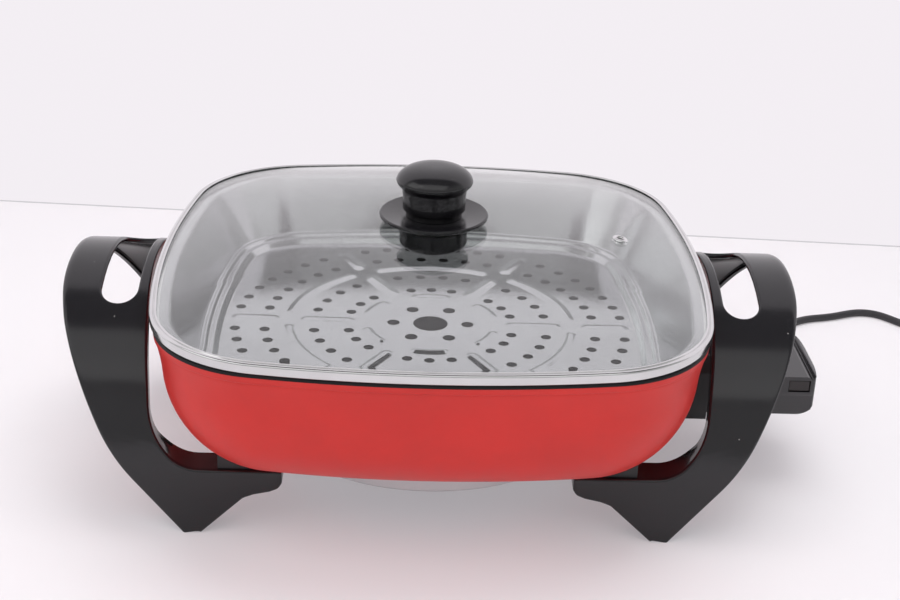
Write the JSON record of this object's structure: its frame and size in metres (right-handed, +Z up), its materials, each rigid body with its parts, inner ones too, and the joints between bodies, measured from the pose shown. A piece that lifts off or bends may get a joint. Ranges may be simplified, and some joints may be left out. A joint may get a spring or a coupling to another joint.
{
  "type": "electric skillet",
  "caption": "Square electric skillet with a red pan, arched black handles that form its legs, a domed glass lid with a knob, a hanging steamer tray and a plug-in temperature control.",
  "frame": {"origin": "middle of the bounding box of the skillet with its plugged-in control, on the table that the four feet stand on", "axes": "+X towards the control and its lead, +Y to the back, +Z up"},
  "size_m": [0.7459, 0.3847, 0.1912],
  "materials": {
    "red_enamel": "gloss",
    "cast_aluminium": "satin",
    "tray_aluminium": "satin",
    "steel": "satin",
    "bright_steel": "polished",
    "glass": "clear",
    "black_plastic": "gloss",
    "dark_plastic": "matte",
    "brass": "satin",
    "ceramic": "matte",
    "silicone": "matte",
    "smoky_lens": "gloss",
    "lead_rubber": "satin"
  },
  "bodies": {
    "skillet": {"pan_body": "red_enamel", "heater_casting": "cast_aluminium", "heating_element": "steel", "terminal_pins": "brass", "terminal_bushes": "ceramic", "terminal_shroud": "dark_plastic", "shroud_screws": "steel", "left_handle": "black_plastic", "right_handle": "black_plastic", "leg_brackets": "dark_plastic", "leg_screws": "steel", "leg_washers": "steel"},
    "lid": {"lid_glass": "glass", "lid_rim": "bright_steel", "lid_knob": "black_plastic", "knob_skirt": "black_plastic", "knob_boss": "dark_plastic", "knob_gaskets": "silicone", "knob_screw": "steel", "vent_eyelet": "bright_steel"},
    "tray": {"steamer_tray": "tray_aluminium"},
    "control": {"control_base": "black_plastic", "control_cover": "black_plastic", "control_screws": "steel", "contact_block": "dark_plastic", "contact_sleeves": "brass", "sensor_rod": "steel", "thermostat_frame": "steel", "switch_blades": "brass", "neon_lamp": "smoky_lens", "lamp_lens": "smoky_lens", "strain_relief": "lead_rubber", "cord": "lead_rubber", "cord_coil": "lead_rubber", "plug_body": "lead_rubber", "plug_pins": "steel"},
    "dial": {"temperature_dial": "black_plastic", "dial_shaft": "steel"}
  },
  "joints": [
    {"name": "lid_lift", "type": "slide", "parent": "skillet", "child": "lid", "axis": [0, 0, 1], "range_m": [0, 0.2]},
    {"name": "tray_lift", "type": "slide", "parent": "skillet", "child": "tray", "axis": [0, 0, 1], "range_m": [0, 0.1]},
    {"name": "control_pull", "type": "slide", "parent": "skillet", "child": "control", "axis": [1, 0, 0], "range_m": [0, 0.09]},
    {"name": "dial_turn", "type": "hinge", "parent": "control", "child": "dial", "pos_m": [0.19225, 0, 0.0605], "axis": [0, 0, 1], "range_deg": [-270, 0]}
  ],
  "couplings": [
    {"joint": "tray_lift", "follows": "lid_lift", "ratio": 0.5}
  ]
}
